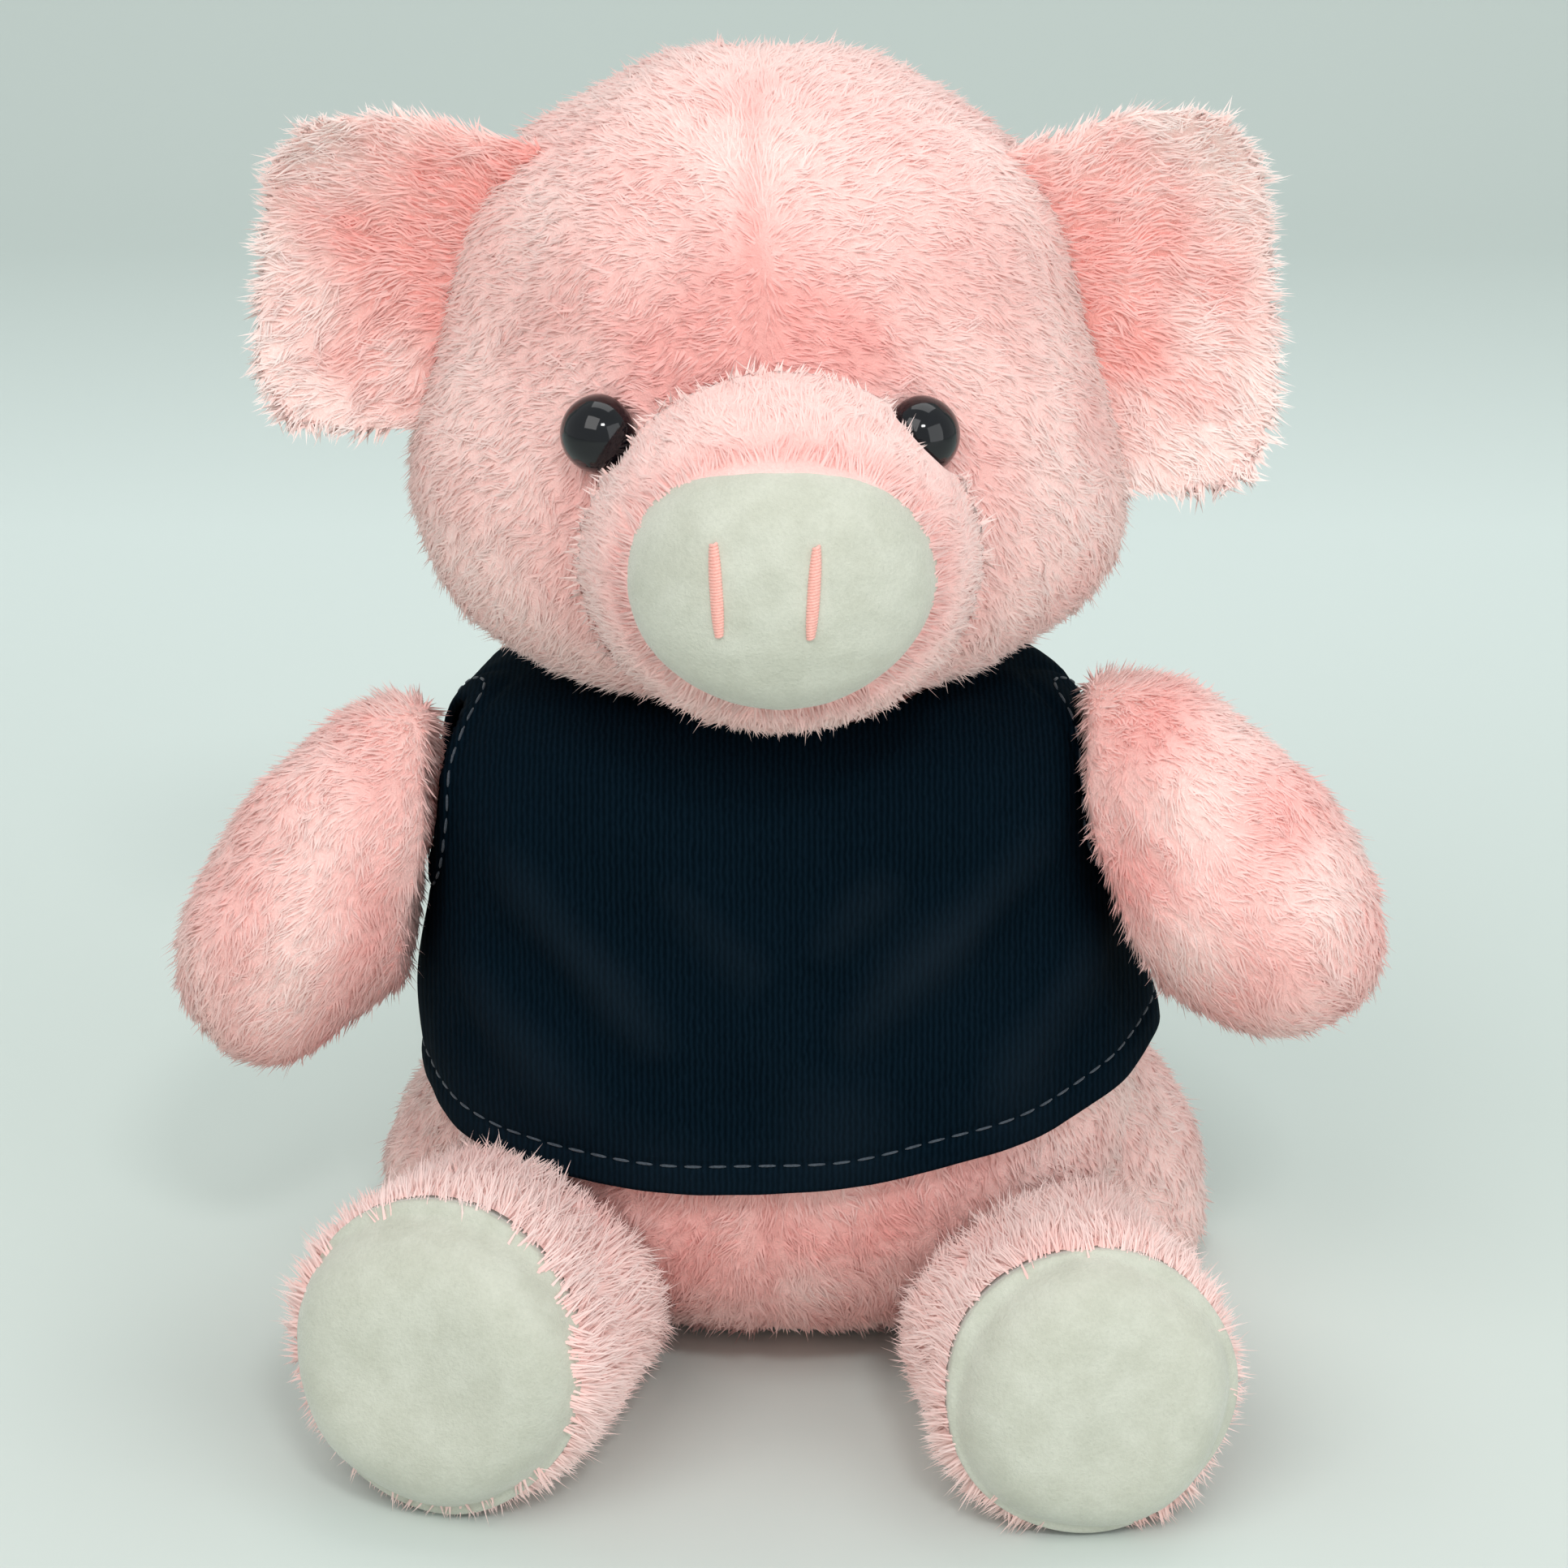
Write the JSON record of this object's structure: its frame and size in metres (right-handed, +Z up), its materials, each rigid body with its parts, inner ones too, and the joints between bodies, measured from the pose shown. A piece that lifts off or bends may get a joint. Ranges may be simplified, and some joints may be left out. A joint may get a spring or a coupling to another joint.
{
  "type": "plush pig",
  "caption": "Seated plush pig with jointed-by-seam head, ears, arms and legs, wearing a removable sleeveless jersey vest.",
  "frame": {"origin": "on the floor under the middle of the body, at the flat of the seat", "axes": "+Z up, the toy faces -Y, its own left side is +X"},
  "size_m": [0.1451, 0.1136, 0.1595],
  "materials": {
    "pile_pink": "short brushed plush pile, pale pink",
    "ear_lining": "short plush pile, deeper pink",
    "velour_cream": "smooth cream-white velour",
    "jersey_navy": "fine rib-knit cotton jersey, blue-black",
    "fibre_fill": "loose polyester fibre filling",
    "pouch_cloth": "plain woven cloth pouch filled with pellets",
    "thread_pink": "satin embroidery thread",
    "thread_white": "strong gathering thread",
    "eye_black": "polished black",
    "washer_white": "moulded plastic"
  },
  "bodies": {
    "torso": {"body_skin": "pile_pink", "body_stuffing": "fibre_fill", "bean_pouch": "pouch_cloth", "vest": "jersey_navy"},
    "tail": {"tail": "pile_pink"},
    "neck": {"neck_gather": "thread_white"},
    "head": {"head_skin": "pile_pink", "head_stuffing": "fibre_fill", "muzzle": "pile_pink", "snout_disc": "velour_cream", "nostril_left": "thread_pink", "nostril_right": "thread_pink", "eye_left": "eye_black", "eye_right": "eye_black", "eye_washer_left": "washer_white", "eye_washer_right": "washer_white"},
    "ear_left": {"ear_left_front": "ear_lining", "ear_left_back": "pile_pink"},
    "ear_right": {"ear_right_front": "ear_lining", "ear_right_back": "pile_pink"},
    "arm_left": {"arm_left_skin": "pile_pink", "arm_left_stuffing": "fibre_fill"},
    "arm_right": {"arm_right_skin": "pile_pink", "arm_right_stuffing": "fibre_fill"},
    "leg_left": {"leg_left_skin": "pile_pink", "leg_left_stuffing": "fibre_fill", "foot_pad_left": "velour_cream"},
    "leg_right": {"leg_right_skin": "pile_pink", "leg_right_stuffing": "fibre_fill", "foot_pad_right": "velour_cream"}
  },
  "joints": [
    {"name": "head_nod", "type": "hinge", "parent": "torso", "child": "neck", "pos_m": [0, -0.002, 0.074], "axis": [1, 0, 0], "range_deg": [-4, 4], "stiffness_Nm_per_rad": 0.35},
    {"name": "head_turn", "type": "hinge", "parent": "neck", "child": "head", "pos_m": [0, -0.002, 0.074], "axis": [0, 0, 1], "range_deg": [-20, 20], "stiffness_Nm_per_rad": 0.15},
    {"name": "ear_left_flop", "type": "hinge", "parent": "head", "child": "ear_left", "pos_m": [0.0373, -0.005, 0.1296], "axis": [0, 0, 1], "range_deg": [-12, 12], "stiffness_Nm_per_rad": 0.004},
    {"name": "ear_right_flop", "type": "hinge", "parent": "head", "child": "ear_right", "pos_m": [-0.03609, -0.005, 0.134], "axis": [0, 0, 1], "range_deg": [-12, 12], "stiffness_Nm_per_rad": 0.004},
    {"name": "arm_left_swing", "type": "hinge", "parent": "torso", "child": "arm_left", "pos_m": [0.0395, -0.0035, 0.0705], "axis": [1, 0, 0], "range_deg": [-45, 25], "stiffness_Nm_per_rad": 0.02},
    {"name": "arm_right_swing", "type": "hinge", "parent": "torso", "child": "arm_right", "pos_m": [-0.0395, -0.0035, 0.0705], "axis": [1, 0, 0], "range_deg": [-45, 25], "stiffness_Nm_per_rad": 0.02},
    {"name": "leg_left_lift", "type": "hinge", "parent": "torso", "child": "leg_left", "pos_m": [0.031, -0.03, 0.02], "axis": [1, 0, 0], "range_deg": [-14, 8], "stiffness_Nm_per_rad": 0.06},
    {"name": "leg_right_lift", "type": "hinge", "parent": "torso", "child": "leg_right", "pos_m": [-0.025, -0.03, 0.02], "axis": [1, 0, 0], "range_deg": [-14, 8], "stiffness_Nm_per_rad": 0.06},
    {"name": "tail_flop", "type": "hinge", "parent": "torso", "child": "tail", "pos_m": [0, 0.03228, 0.027], "axis": [1, 0, 0], "range_deg": [-15, 15], "stiffness_Nm_per_rad": 0.002}
  ]
}
